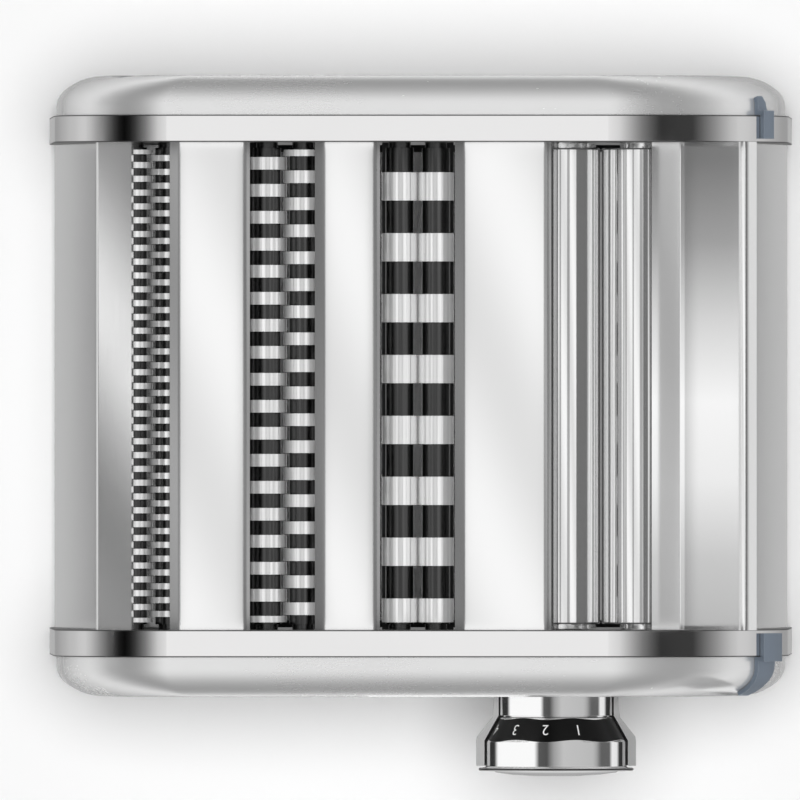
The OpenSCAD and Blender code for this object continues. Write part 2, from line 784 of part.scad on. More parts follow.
// comb under each roll, its fingers standing in the grooves
module comb(x, dir, pitch, width, phase, r) {
    finger = pitch - width - 2 * scrape_clear;
    top = cut_z - core_r - scrape_clear;
    bar = cut_z - r - 1.2;
    x0 = x + (dir > 0 ? 0.4 : -0.4 - 1.2);
    for (i = [-20:20]) {
        c = (i + phase + 0.5) * pitch;
        if (abs(c) + finger / 2 < roll_end - 0.8)
            translate([x0, c - finger / 2, bar - eps]) cube([1.2, finger, top - bar]);
    }
    translate([x0, -y_in, bar - 7]) cube([1.2, inner_w, 7]);
    translate([x0 - (dir > 0 ? 0 : 4), -y_in, bar - 7]) cube([5.2, inner_w, 1.2]);
}
module fine_combs() {
    color(plastic) {
        comb(fine_x - cut_c / 2, -1, fine_pitch, fine_land, 0, disc_r);
        comb(fine_x + cut_c / 2, 1, fine_pitch, fine_land, 0.5, disc_r);
    }
}
module medium_combs() {
    color(plastic) {
        comb(medium_x - cut_c / 2, -1, medium_pitch, medium_land, 0.25, disc_r);
        comb(medium_x + cut_c / 2, 1, medium_pitch, medium_land, 0.75, disc_r);
    }
}
module wide_combs() {
    color(plastic) {
        comb(wide_x - cut_c / 2, -1, wide_pitch, wide_land, wide_at, wide_r);
        comb(wide_x + cut_c / 2, 1, wide_pitch, wide_land, wide_at, wide_r);
    }
}

module bearing_block(x, side) {
    on_side(side) difference() {
        union() {
            bearing_window(x, 0, y_in, y_web + 0.5);
            bearing_window(x, 2, y_web, y_web + 2.2);
        }
        for (s = [-1, 1])
            rod_y(x + s * cut_c / 2, cut_z, cut_journal_r + run_clear, y_in - 1, y_web + 4);
    }
}
module cutter_bearings_knob_side() { color(plastic) for (x = cut_list) bearing_block(x, -1); }
module cutter_bearings_crank_side() { color(plastic) for (x = cut_list) bearing_block(x, 1); }

// ---------- adjusting knob ----------

module dial_at(pts) { turned(knob_x, roller_z, [for (p = pts) [p[0], -p[1]]]); }

pin_at = [14.2 * sin(index_angle), 14.2 * cos(index_angle)];

module dial_collar() {
    color(chrome) difference() {
        dial_at([
            [8, y_out], [collar_r, y_out], [collar_r, y_out + collar_l - 0.5],
            [collar_r - 0.5, y_out + collar_l], [8, y_out + collar_l]
        ]);
        rod_y(knob_x + pin_at[0], roller_z + pin_at[1], 1.5, -y_out - collar_l - 1, -y_out - 2);
    }
}

// half bell that stands close around the underside of the dial
module dial_shroud() {
    a = y_out;
    b = knob_face + ring_l;
    color(zinc) intersection() {
        dial_at([
            [collar_r + 0.4, a], [collar_r + 1.7, a], [collar_r + 2.2, a + collar_l],
            [ring_r + 2.9, b - 1.6], [ring_r + 3.1, b], [ring_r + 3.1, drum_end - 0.6],
            [ring_r + 0.6, drum_end - 0.6], [ring_r + 0.6, b - 0.4],
            [collar_r + 0.6, knob_face - 0.4], [collar_r + 0.4, knob_face - 0.6]
        ]);
        translate([knob_x - 40, -drum_end, roller_z - 40]) cube([80, drum_end, 42]);
    }
}

module index_pin() {
    color(steel) rod_y(knob_x + pin_at[0], roller_z + pin_at[1], 1.5, -knob_face + 0.15, -y_out - 2);
}

module number_ring() {
    a = knob_face;
    color(black) difference() {
        dial_at([
            [8.5, a], [collar_r, a], [ring_r, a + ring_l], [8.5, a + ring_l]
        ]);
        for (i = [0:settings - 1]) {
            t = index_angle - i * setting_step;
            rod_y(knob_x + 14.2 * sin(t), roller_z + 14.2 * cos(t), 1.8, -a - 3.2, -a + 1);
        }
    }
}

drum_end = knob_face + ring_l + drum_l;
module knob_body() {
    a = knob_face + ring_l;
    color(chrome) difference() {
        dial_at([
            [0, knob_face + 1], [8.5, knob_face + 1], [8.5, a], [ring_r, a],
            [ring_r, drum_end - 0.5], [ring_r + 0.5, drum_end], [lip_r - 0.3, drum_end],
            [lip_r, drum_end + 0.3], [lip_r, drum_end + lip_l - 0.3],
            [lip_r - 0.3, drum_end + lip_l], [20, drum_end + lip_l],
            [20, drum_end], [18, a + 1.6], [7.4, a + 1.6], [7.4, knob_web], [0, knob_web]
        ]);
        intersection() {
            rod_y(knob_x, roller_z, ecc_journal_r + run_clear, -knob_web - 1, -knob_face);
            translate([knob_x - ecc_journal_r * 0.8 - run_clear, -knob_web - 2, roller_z - 9])
                cube([ecc_journal_r * 1.6 + 2 * run_clear, knob_web, 18]);
        }
    }
}

module knob_cap() {
    color(chrome) dial_at([
        [0, drum_end + 0.2], [20, drum_end + 0.2], [20, drum_end + lip_l],
        [19.2, drum_end + lip_l + cap_h * 0.3], [14, drum_end + lip_l + cap_h * 0.72],
        [7, drum_end + lip_l + cap_h * 0.94], [0, drum_end + lip_l + cap_h]
    ]);
}

module knob_screw() {
    color(steel) dial_at([
        [0, shaft_end - 7], [1.6, shaft_end - 7], [1.6, shaft_end], [7.2, shaft_end],
        [7.2, shaft_end + 1], [3.2, shaft_end + 1], [3.2, shaft_end + 2.4], [0, shaft_end + 2.4]
    ]);
}

// compression spring as a stack of turned coils between the knob and the washer
module knob_spring() {
    color(steel) for (i = [0:2])
        translate([knob_x, -knob_web - 0.7 - i * 2.9, roller_z]) rotate([90, 0, 0])
            rotate_extrude() translate([6.2, 0]) circle(r = 0.7, $fn = 16);
}

// ---------- cover clips ----------

// spring clip over the rim's end, with a tail that tapers along the cover's end
clip_t = 1.4;
clip_gap = 0.12;
clip_fine = 4;
function clip_pt(k, s, d) =
    let (
        q = cover_ring(k, d), b = 2 * (corner_n + 1), i = min(floor(s), corner_n - 1),
        p = q[b + i] + (q[b + i + 1] - q[b + i]) * (s - i)
    )
    k == 0 ? [p[0], p[1] + clip_gap, p[2]] : p;
module clip_band(i0, i1, d0, d1, y0, y1) {
    n = clip_fine * corner_n;
    b = 2 * (n + 1);
    along_y(y0, y1) polygon(concat(
        [for (i = [clip_fine * i0:clip_fine * i1]) outline_pts(d1, n)[b + i]],
        [for (i = [clip_fine * i1:-1:clip_fine * i0]) outline_pts(d0, n)[b + i]]
    ));
}
module cover_clip(i0, i1, tail) {
    n = 5;
    grid = [for (d = [clip_gap, clip_gap + clip_t], k = [0:tail], j = [0:n - 1])
        clip_pt(k, i1 - (i1 - i0) * (1 - j / (n - 1)) * (1 - 0.5 * k / tail), -d)];
    m = n * (tail + 1);
    color(zinc) union() {
        clip_band(i0, i1, -clip_gap, -clip_gap - clip_t, y_in + 1.2, y_rim + 1.6);
        clip_band(i0, i1, cover_step - clip_gap - clip_t / 2, -clip_gap - clip_t / 2,
            y_rim + clip_gap, y_rim + 1.6);
        polyhedron(grid, concat(
            [for (k = [0:tail - 1], i = [0:n - 2]) let (q = k * n + i)
                each [[q, q + n, q + 1], [q + 1, q + n, q + n + 1]]],
            [for (k = [0:tail - 1], i = [0:n - 2]) let (q = m + k * n + i)
                each [[q, q + 1, q + n], [q + 1, q + n + 1, q + n]]],
            [for (i = [0:n - 2]) each [[i, i + 1, m + i], [i + 1, m + i + 1, m + i]]],
            [for (i = [0:n - 2]) let (q = tail * n + i)
                each [[q, m + q, q + 1], [q + 1, m + q, m + q + 1]]],
            [for (k = [0:tail - 1]) let (q = k * n)
                each [[q, m + q, q + n], [q + n, m + q, m + q + n]]],
            [for (k = [0:tail - 1]) let (q = k * n + n - 1)
                each [[q, q + n, m + q], [q + n, m + q + n, m + q]]]
        ));
    }
}
module cover_clip_knob_side() { mirror([0, 1, 0]) cover_clip(3, 5, 6); }
module cover_clip_crank_side() { cover_clip(4, 5, 2); }

side_plate_knob_side();
side_plate_crank_side();
cover_knob_side();
cover_crank_side();
cover_screws_knob_side();
cover_screws_crank_side();
tie_rod(rods[0]);  // tie_rod_1
tie_rod(rods[1]);  // tie_rod_2
tie_rod(rods[2]);  // tie_rod_3
tie_rod(rods[3]);  // tie_rod_4
rod_nuts();
base_crossbar();
foot_knob_side();
foot_crank_side();
left_end_plate();
deck_plate_1();
deck_plate_2();
hopper_front_plate();
hopper_rear_plate();
right_end_plate();
roller_fixed();
roller_fixed_gear();
roller_bush_knob_side();
roller_bush_crank_side();
roller_fixed_scraper();
roller_adjustable();
roller_adjustable_gear();
roller_adjustable_bushes();
eccentric_shaft();
eccentric_bush_knob_side();
eccentric_bush_crank_side();
roller_adjustable_scraper();
fine_roll_drive();
fine_roll_driven();
fine_gear_drive();
fine_gear_driven();
fine_combs();
medium_roll_drive();
medium_roll_driven();
medium_gear_drive();
medium_gear_driven();
medium_combs();
wide_roll_drive();
wide_roll_driven();
wide_gear_drive();
wide_gear_driven();
wide_combs();
cutter_bearings_knob_side();
cutter_bearings_crank_side();
dial_collar();
dial_shroud();
index_pin();
number_ring();
knob_body();
knob_cap();
knob_screw();
knob_spring();
cover_clip_knob_side();
cover_clip_crank_side();
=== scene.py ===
# %% [markdown]
# # Pasta roller machine: finishing the CAD model in Blender
# The CAD model already holds every piece in its real place. This notebook gives each piece a
# material built from nodes, prints the numerals on the dial, and lights it like a studio shot.

# %% Load the model
import json
import math

import bmesh
import bpy
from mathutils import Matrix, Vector

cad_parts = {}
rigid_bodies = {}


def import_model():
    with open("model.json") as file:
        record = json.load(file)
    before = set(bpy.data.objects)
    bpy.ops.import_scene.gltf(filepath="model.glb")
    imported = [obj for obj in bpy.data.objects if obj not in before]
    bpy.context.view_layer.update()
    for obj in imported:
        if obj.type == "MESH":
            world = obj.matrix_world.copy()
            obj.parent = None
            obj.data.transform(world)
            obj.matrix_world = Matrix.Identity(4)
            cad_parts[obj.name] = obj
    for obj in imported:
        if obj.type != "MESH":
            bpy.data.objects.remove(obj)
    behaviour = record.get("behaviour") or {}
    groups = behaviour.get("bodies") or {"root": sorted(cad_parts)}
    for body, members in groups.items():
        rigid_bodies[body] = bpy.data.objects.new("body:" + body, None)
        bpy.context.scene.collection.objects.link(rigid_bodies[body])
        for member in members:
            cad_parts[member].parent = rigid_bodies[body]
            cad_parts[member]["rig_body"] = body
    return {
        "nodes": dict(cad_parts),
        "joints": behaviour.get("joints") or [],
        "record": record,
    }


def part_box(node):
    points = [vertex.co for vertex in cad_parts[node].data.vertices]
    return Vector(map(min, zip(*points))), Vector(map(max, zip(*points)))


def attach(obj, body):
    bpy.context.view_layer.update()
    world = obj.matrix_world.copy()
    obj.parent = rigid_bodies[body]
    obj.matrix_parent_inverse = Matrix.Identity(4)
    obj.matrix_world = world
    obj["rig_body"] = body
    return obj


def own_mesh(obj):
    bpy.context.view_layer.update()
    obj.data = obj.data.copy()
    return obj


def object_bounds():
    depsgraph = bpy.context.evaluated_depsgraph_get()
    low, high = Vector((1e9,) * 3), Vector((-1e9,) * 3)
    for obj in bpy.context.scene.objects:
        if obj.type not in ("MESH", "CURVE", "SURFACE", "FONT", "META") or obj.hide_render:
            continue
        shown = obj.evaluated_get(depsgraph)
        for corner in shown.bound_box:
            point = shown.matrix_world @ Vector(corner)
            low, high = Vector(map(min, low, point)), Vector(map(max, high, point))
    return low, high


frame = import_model()
cad_low, cad_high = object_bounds()
nodes = frame["nodes"]
scene = bpy.context.scene
scene.view_settings.view_transform = "Standard"
print(len(nodes), "CAD pieces loaded")

# %% [markdown]
# ## Node helpers
# A shader effect that several materials share lives in one node group. Each group has named
# inputs and gives a value or a normal, so it can be read and reused in any shader editor.

# %% Node helpers
FLOAT, VECTOR = "NodeSocketFloat", "NodeSocketVector"


def add_node(tree, kind, **values):
    """Adds a node, then sets its properties and its input sockets by name."""
    made = tree.nodes.new(kind)
    for key, value in values.items():
        if hasattr(made, key):
            setattr(made, key, value)
        else:
            made.inputs[key.replace("_", " ")].default_value = value
    return made


def math_node(tree, operation, first, second=0.0, third=0.0, clamp=False):
    """A Math node whose operands are numbers or sockets. Returns its output."""
    made = tree.nodes.new("ShaderNodeMath")
    made.operation = operation
    made.use_clamp = clamp
    for slot, value in enumerate((first, second, third)):
        if hasattr(value, "is_output"):
            tree.links.new(value, made.inputs[slot])
        else:
            made.inputs[slot].default_value = value
    return made.outputs[0]


def between(tree, value, low, high, start=0.0, end=1.0):
    """Smoothly maps value from low..high to start..end."""
    made = add_node(tree, "ShaderNodeMapRange", interpolation_type="SMOOTHSTEP")
    for label, number in (("From Min", low), ("From Max", high), ("To Min", start),
                          ("To Max", end)):
        made.inputs[label].default_value = number
    tree.links.new(value, made.inputs["Value"])
    return made.outputs[0]


def object_place(tree):
    """The point's X, Y and Z in the machine's own frame, in metres."""
    place = tree.nodes.new("ShaderNodeTexCoord")
    split = tree.nodes.new("ShaderNodeSeparateXYZ")
    tree.links.new(place.outputs["Object"], split.inputs[0])
    return split.outputs


def new_group(name, inputs, outputs):
    """A shader node group with sockets from (name, type, default)."""
    tree = bpy.data.node_groups.new(name, "ShaderNodeTree")
    for label, kind, value in inputs:
        tree.interface.new_socket(label, in_out="INPUT", socket_type=kind).default_value = value
    for label, kind in outputs:
        tree.interface.new_socket(label, in_out="OUTPUT", socket_type=kind)
    return tree, tree.nodes.new("NodeGroupInput"), tree.nodes.new("NodeGroupOutput")


print("helpers ready")

# %% [markdown]
# ## Edge wear
# Every pressed or turned edge is a little round, and handling rubs the plating there until it
# shines. The Bevel node gives the normal of a rounded edge without any extra faces, and where
# that differs from the true normal the mask is bright.

# %% Edge wear group
def edge_wear_group():
    tree, given, result = new_group(
        "edge_wear", [("Width", FLOAT, 0.0006), ("Contrast", FLOAT, 6.0)],
        [("Mask", FLOAT), ("Normal", VECTOR)])
    bevel = add_node(tree, "ShaderNodeBevel", samples=4)
    geometry = add_node(tree, "ShaderNodeNewGeometry")
    dot = add_node(tree, "ShaderNodeVectorMath", operation="DOT_PRODUCT")
    tree.links.new(given.outputs["Width"], bevel.inputs["Radius"])
    tree.links.new(bevel.outputs["Normal"], dot.inputs[0])
    tree.links.new(geometry.outputs["Normal"], dot.inputs[1])
    bent = math_node(tree, "SUBTRACT", 1.0, dot.outputs["Value"])
    mask = math_node(tree, "MULTIPLY", bent, given.outputs["Contrast"], clamp=True)
    tree.links.new(mask, result.inputs["Mask"])
    tree.links.new(bevel.outputs["Normal"], result.inputs["Normal"])
    return tree


EDGE = edge_wear_group()
print("group", EDGE.name)

# %% [markdown]
# ## Grain
# Rolled sheet, ground rolls and turned knobs all have fine parallel lines. One noise texture,
# squeezed along the direction of the lines, drives both roughness and a very shallow bump.

# %% Grain group
def grain_group():
    tree, given, result = new_group(
        "metal_grain",
        [("Stretch", VECTOR, (1.0, 0.02, 1.0)), ("Scale", FLOAT, 3000.0),
         ("Bump", FLOAT, 0.1), ("Normal", VECTOR, (0, 0, 0))],
        [("Value", FLOAT), ("Normal", VECTOR)])
    place = add_node(tree, "ShaderNodeTexCoord")
    squeeze = add_node(tree, "ShaderNodeVectorMath", operation="MULTIPLY")
    noise = add_node(tree, "ShaderNodeTexNoise", Detail=3.0, Roughness=0.6)
    bump = add_node(tree, "ShaderNodeBump", Distance=0.00004)
    tree.links.new(place.outputs["Object"], squeeze.inputs[0])
    tree.links.new(given.outputs["Stretch"], squeeze.inputs[1])
    tree.links.new(squeeze.outputs[0], noise.inputs["Vector"])
    tree.links.new(given.outputs["Scale"], noise.inputs["Scale"])
    tree.links.new(noise.outputs["Fac"], bump.inputs["Height"])
    tree.links.new(given.outputs["Bump"], bump.inputs["Strength"])
    tree.links.new(given.outputs["Normal"], bump.inputs["Normal"])
    tree.links.new(noise.outputs["Fac"], result.inputs["Value"])
    tree.links.new(bump.outputs["Normal"], result.inputs["Normal"])
    return tree


GRAIN = grain_group()
print("group", GRAIN.name)

# %% [markdown]
# ## Smudges
# Floury hands leave slow, soft patches that make a polished surface a little duller.

# %% Smudge group
def smudge_group():
    tree, given, result = new_group(
        "smudges", [("Scale", FLOAT, 14.0), ("Low", FLOAT, 0.0), ("High", FLOAT, 1.0)],
        [("Value", FLOAT)])
    place = add_node(tree, "ShaderNodeTexCoord")
    noise = add_node(tree, "ShaderNodeTexNoise", Detail=5.0, Roughness=0.62)
    spread = add_node(tree, "ShaderNodeMapRange")
    spread.inputs["From Min"].default_value = 0.35
    spread.inputs["From Max"].default_value = 0.7
    tree.links.new(place.outputs["Object"], noise.inputs["Vector"])
    tree.links.new(given.outputs["Scale"], noise.inputs["Scale"])
    tree.links.new(noise.outputs["Fac"], spread.inputs["Value"])
    tree.links.new(given.outputs["Low"], spread.inputs["To Min"])
    tree.links.new(given.outputs["High"], spread.inputs["To Max"])
    tree.links.new(spread.outputs[0], result.inputs["Value"])
    return tree


SMUDGE = smudge_group()
print("group", SMUDGE.name)

# %% [markdown]
# ## Metals and plastics
# All finishes share one builder: a base colour that brightens on worn edges, a roughness that
# follows the smudges and the grain, and the grain's bump. `paint` can lay a second finish over
# part of the surface, such as the dial's black band or the painted shade on a cutter's groove floors.

# %% Finish builder
GRAIN_DULLING = 0.04


def place_group(tree, group, **values):
    made = tree.nodes.new("ShaderNodeGroup")
    made.node_tree = group
    for key, value in values.items():
        made.inputs[key].default_value = value
    return made


def blend_values(tree, mask, value, other, target):
    """Mixes a socket's value towards another number where the mask is 1."""
    mixed = math_node(tree, "MULTIPLY_ADD", mask, math_node(tree, "SUBTRACT", other, value), value)
    tree.links.new(mixed, target)


def finish(name, colour, rough, grain=(1.0, 0.02, 1.0), scale=3000.0, bump=0.1,
           smudge=0.05, wear=0.1, edge=0.0005, contrast=6.0, metallic=1.0, paint=None,
           round_edges=False, gloss=0.5):
    """paint is (mask function, colour, roughness, metallic) of the second finish. round_edges
    also bends the shading normal over the edges."""
    material = bpy.data.materials.new(name)
    material.use_nodes = True
    tree = material.node_tree
    shader = tree.nodes["Principled BSDF"]
    shader.inputs["Metallic"].default_value = metallic
    shader.inputs["Specular IOR Level"].default_value = gloss
    lines = place_group(tree, GRAIN, Stretch=grain, Scale=scale, Bump=bump)
    marks = place_group(tree, SMUDGE, Low=rough, High=rough + smudge)
    edges = place_group(tree, EDGE, Width=edge, Contrast=contrast)
    if round_edges:
        tree.links.new(edges.outputs["Normal"], lines.inputs["Normal"])
    tint = add_node(tree, "ShaderNodeMix", data_type="RGBA")
    tint.inputs[6].default_value = (*colour, 1)
    tint.inputs[7].default_value = (*[max(0, min(1, c + wear)) for c in colour], 1)
    tree.links.new(edges.outputs["Mask"], tint.inputs[0])
    base = tint.outputs[2]
    dull = math_node(tree, "MULTIPLY_ADD", lines.outputs["Value"], GRAIN_DULLING,
                     marks.outputs["Value"])
    if paint:
        mask_of, second_colour, second_rough, second_metallic = paint
        mask = mask_of(tree)
        over = add_node(tree, "ShaderNodeMix", data_type="RGBA")
        over.inputs[7].default_value = (*second_colour, 1)
        tree.links.new(mask, over.inputs[0])
        tree.links.new(base, over.inputs[6])
        base = over.outputs[2]
        blend_values(tree, mask, dull, second_rough, shader.inputs["Roughness"])
        blend_values(tree, mask, metallic, second_metallic, shader.inputs["Metallic"])
    else:
        tree.links.new(dull, shader.inputs["Roughness"])
    tree.links.new(base, shader.inputs["Base Color"])
    tree.links.new(lines.outputs["Normal"], shader.inputs["Normal"])
    return material


def plastic(name, colour, rough, scale=900.0, bump=0.06, smudge=0.1, wear=0.03):
    return finish(name, colour, rough, grain=(1, 1, 1), scale=scale, bump=bump,
                  smudge=smudge, wear=wear, metallic=0.0)


print("finish builder ready")

# %% [markdown]
# ## The dial's black band
# The black paint stops in shallow scallops at both ends of the cone, where the chrome of the
# collar and of the drum runs into it. The mask compares how far along the cone a point lies
# with a cosine of its angle round the knob.

# %% Dial mask
axis_of = {j["child"]: Vector(j["pos_m"]) for j in frame["joints"] if "pos_m" in j}
KNOB = axis_of["eccentric"]
ring_low, ring_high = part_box("number_ring")
CONE_WIDE, CONE_NARROW = ring_low.y, ring_high.y
CONE_LENGTH = CONE_NARROW - CONE_WIDE
RING_R1 = (ring_high.x - ring_low.x) / 2
RING_R0 = (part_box("dial_collar")[1].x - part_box("dial_collar")[0].x) / 2
SCALLOPS, SCALLOP_ANGLE = 7, math.radians(16)


def dial_chrome_mask(tree):
    x, y, z = object_place(tree)
    turn = math_node(tree, "ARCTAN2", math_node(tree, "SUBTRACT", x, KNOB.x),
                     math_node(tree, "SUBTRACT", z, KNOB.z))
    phase = math_node(tree, "MULTIPLY", math_node(tree, "SUBTRACT", turn, SCALLOP_ANGLE), SCALLOPS)
    wave = math_node(tree, "COSINE", phase)
    along = math_node(tree, "DIVIDE", math_node(tree, "SUBTRACT", CONE_NARROW, y), CONE_LENGTH)
    drum_edge = math_node(tree, "MULTIPLY_ADD", wave, 0.045, along)
    drum = between(tree, drum_edge, 0.945, 0.955)
    collar_edge = math_node(tree, "MULTIPLY_ADD", wave, 0.035, along)
    collar = between(tree, collar_edge, 0.035, 0.045, 1.0, 0.0)
    return math_node(tree, "MAXIMUM", drum, collar)


# %% [markdown]
# ## The line before the knob's face
# A narrow groove parts the drum from its domed face. It is too deep to catch light, so the
# material darkens the few tenths of a millimetre between two planes across the knob.

# %% Groove line mask
FACE_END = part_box("knob_cap")[0].y
LIP_LINE = (FACE_END + 0.0020, FACE_END + 0.0026)
LINE_BLUR = 0.0001


def lip_line_mask(tree):
    _, y, _ = object_place(tree)
    inner = between(tree, y, LIP_LINE[0] - LINE_BLUR, LIP_LINE[0] + LINE_BLUR)
    outer = between(tree, y, LIP_LINE[1] - LINE_BLUR, LIP_LINE[1] + LINE_BLUR, 1, 0)
    return math_node(tree, "MULTIPLY", inner, outer)


print("cone from", round(CONE_NARROW, 4), "to", round(CONE_WIDE, 4), "face at", FACE_END)

# %% [markdown]
# ## The cutters' grooves
# The floor of each groove gets a painted shade, a dark grey colour and a duller polish, while the
# lands stay bright. The mask is the distance from the roll's own axis, so each roll has its own
# copy of the steel.

# %% Groove mask
GROOVE_FLOOR, LAND_START = 0.0046, 0.0054


def groove_shade_mask(axis):
    def mask(tree):
        x, _, z = object_place(tree)
        across = math_node(tree, "POWER", math_node(tree, "SUBTRACT", x, axis.x), 2.0)
        up = math_node(tree, "POWER", math_node(tree, "SUBTRACT", z, axis.z), 2.0)
        radius = math_node(tree, "SQRT", math_node(tree, "ADD", across, up))
        return between(tree, radius, GROOVE_FLOOR, LAND_START, 1.0, 0.0)
    return mask


def cutter_steel(body):
    # Painted shade: the floor of each groove is coloured dark grey.
    return finish("cutter_steel_" + body, (0.95, 0.95, 0.95), 0.12, grain=(1, 1, 1), bump=0.01,
                  metallic=0.62, edge=0.0002,
                  paint=(groove_shade_mask(axis_of[body]), (0.10, 0.10, 0.10), 0.25, 1.0))


rolls = [b for b in axis_of if b.endswith(("_drive", "_driven"))]
print(len(rolls), "cutter rolls")

# %% [markdown]
# ## Rolled edges of the deck plates
# The long edges of the deck plates roll over by a few degrees. There the steel gets a painted shade,
# a darker colour, and a duller polish than on the flat, so the mask is bright where the surface isn't
# level.

# %% Rolled edge mask
LEVEL, ROLLED = 0.9995, 0.996


def rolled_edge_shade_mask(tree):
    geometry = add_node(tree, "ShaderNodeNewGeometry")
    split = add_node(tree, "ShaderNodeSeparateXYZ")
    tree.links.new(geometry.outputs["Normal"], split.inputs[0])
    return between(tree, split.outputs["Z"], ROLLED, LEVEL, 1.0, 0.0)


# %% [markdown]
# ## Seams along the bands
# A fine painted shadow line runs where the side plate's band meets the cover, and along its inner
# edge.

# %% Seam mask
band_inner, band_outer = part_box("side_plate_crank_side")[0].y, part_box("side_plate_crank_side")[1].y
SEAM_NEAR, SEAM_FAR = 0.00022, 0.00042


def seam_shadow_mask(tree):
    _, y, _ = object_place(tree)
    across = math_node(tree, "ABSOLUTE", y)
    lines = [between(tree, math_node(tree, "ABSOLUTE", math_node(tree, "SUBTRACT", across, edge)),
                     SEAM_NEAR, SEAM_FAR, 1.0, 0.0) for edge in (band_inner, band_outer)]
    return math_node(tree, "MAXIMUM", *lines)


print("band from", round(band_inner, 4), "to", round(band_outer, 4))

# %% [markdown]
# ## Materials on the pieces
# The record gives each node a material slot, and each slot has one finish here. The cutter rolls
# have one copy of their steel each, with painted shade in the grooves, and the deck plates have
# their own, with painted shade on the rolled edges.

# %% Materials
chrome = (0.95, 0.95, 0.95)


def sheet_steel(name, paint=None):
    return finish(name, chrome, 0.09, bump=0.01, smudge=0.04, wear=0.0, metallic=0.85, paint=paint)


looks = {
    # The bands carry a painted shadow line, dark grey, along their seams.
    "polished_steel": finish("polished_steel", (0.82, 0.815, 0.815), 0.05, bump=0.02,
                             smudge=0.03, wear=0.0, edge=0.0004, round_edges=True,
                             paint=(seam_shadow_mask, (0.16, 0.16, 0.16), 0.4, 1.0)),
    "satin_cover": finish("satin_cover", (0.94, 0.94, 0.94), 0.23, grain=(0.1, 1, 1),
                          scale=1500.0, bump=0.0, smudge=0.03, wear=0.0, metallic=0.66),
    "fastener_steel": finish("fastener_steel", (0.55, 0.55, 0.56), 0.28),
    "plate_steel": sheet_steel("plate_steel"),
    "foot_rubber": plastic("foot_rubber", (0.03, 0.03, 0.03), 0.75, scale=2500.0, bump=0.3),
    "roller_chrome": finish("roller_chrome", chrome, 0.04, bump=0.003, smudge=0.02,
                            wear=0.0, metallic=0.9),
    "gear_steel": finish("gear_steel", (0.45, 0.45, 0.47), 0.32),
    "bearing_plastic": plastic("bearing_plastic", (0.86, 0.85, 0.80), 0.5),
    "comb_plastic": plastic("comb_plastic", (0.03, 0.03, 0.03), 0.45),
    "bush_brass": finish("bush_brass", (0.72, 0.52, 0.24), 0.25),
    "knob_chrome": finish("knob_chrome", chrome, 0.07, bump=0.01, smudge=0.03, wear=0.0,
                          paint=(lip_line_mask, (0.01, 0.01, 0.01), 0.3, 0.0)),
    "dial_black": finish("dial_black", (0.003, 0.003, 0.003), 0.3, grain=(1, 1, 1),
                         scale=900.0, bump=0.03, smudge=0.08, wear=0.01, metallic=0.0,
                         gloss=0.2, paint=(dial_chrome_mask, chrome, 0.1, 1.0)),
    "satin_zinc": finish("satin_zinc", (0.42, 0.42, 0.42), 0.4, metallic=0.35),
    "clip_zinc": finish("clip_zinc", (0.26, 0.31, 0.38), 0.35, metallic=0.8),
}
slot_of = {s["node"]: s["material_slot"] for s in frame["record"]["subparts"]}
roll_steel = {body: cutter_steel(body) for body in rolls}
# Painted shade: the deck plates' rolled edges are coloured dark grey.
deck_steel_shaded_edges = sheet_steel("deck_steel_shaded_edges", paint=(rolled_edge_shade_mask, (0.42, 0.42, 0.42), 0.2, 1.0))
decks = ("deck_plate_1", "deck_plate_2", "hopper_front_plate")
for name, piece in nodes.items():
    body = piece["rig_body"]
    look = roll_steel[body] if slot_of[name] == "cutter_steel" else looks[slot_of[name]]
    look = deck_steel_shaded_edges if name in decks else look
    piece.data.materials.clear()
    piece.data.materials.append(look)
print(len(looks) + len(roll_steel), "materials on", len(nodes), "pieces")

# %% [markdown]
# ## Smooth bends
# The covers' rounded ends and the sheets' bends come as small flat facets. A modifier joins the
# facets' corners and shades shallow angles smoothly. Weighted normals keep the flats flat.

# %% Smooth shading modifier
SMOOTH_BELOW = math.radians(28)


def smooth_group():
    tree = bpy.data.node_groups.new("smooth_bends", "GeometryNodeTree")
    tree.interface.new_socket("Geometry", in_out="INPUT", socket_type="NodeSocketGeometry")
    tree.interface.new_socket("Geometry", in_out="OUTPUT", socket_type="NodeSocketGeometry")
    given, result = tree.nodes.new("NodeGroupInput"), tree.nodes.new("NodeGroupOutput")
    merge = add_node(tree, "GeometryNodeMergeByDistance", Distance=0.00001)
    plain = add_node(tree, "GeometryNodeRemoveAttribute", Name="custom_normal")
    faces = add_node(tree, "GeometryNodeSetShadeSmooth", domain="FACE")
    edges = add_node(tree, "GeometryNodeSetShadeSmooth", domain="EDGE")
    angle = add_node(tree, "GeometryNodeInputMeshEdgeAngle")
    shallow = add_node(tree, "FunctionNodeCompare", data_type="FLOAT", operation="LESS_THAN")
    shallow.inputs[1].default_value = SMOOTH_BELOW
    tree.links.new(given.outputs[0], merge.inputs["Geometry"])
    tree.links.new(merge.outputs[0], plain.inputs["Geometry"])
    tree.links.new(plain.outputs[0], faces.inputs["Geometry"])
    tree.links.new(faces.outputs[0], edges.inputs["Geometry"])
    tree.links.new(angle.outputs["Unsigned Angle"], shallow.inputs[0])
    tree.links.new(shallow.outputs[0], edges.inputs["Shade Smooth"])
    tree.links.new(edges.outputs[0], result.inputs[0])
    return tree


SMOOTH = smooth_group()
faceted = [n for n in nodes if n.startswith("cover_clip") or n.endswith("_plate")
           or n in ("cover_knob_side", "cover_crank_side", "deck_plate_1", "deck_plate_2")]
for name in faceted:
    nodes[name].modifiers.new("smooth bends", "NODES").node_group = SMOOTH
    weighted = nodes[name].modifiers.new("weighted normals", "WEIGHTED_NORMAL")
    weighted.mode = "FACE_AREA_WITH_ANGLE"
    weighted.keep_sharp = True
print(len(faceted), "pieces shaded smoothly")

# %% [markdown]
# ## Numerals on the dial
# Each numeral is a flat mesh letter bent onto the black cone. They read from the cover's side,
# and one numeral stands at the index for each of the seven settings.

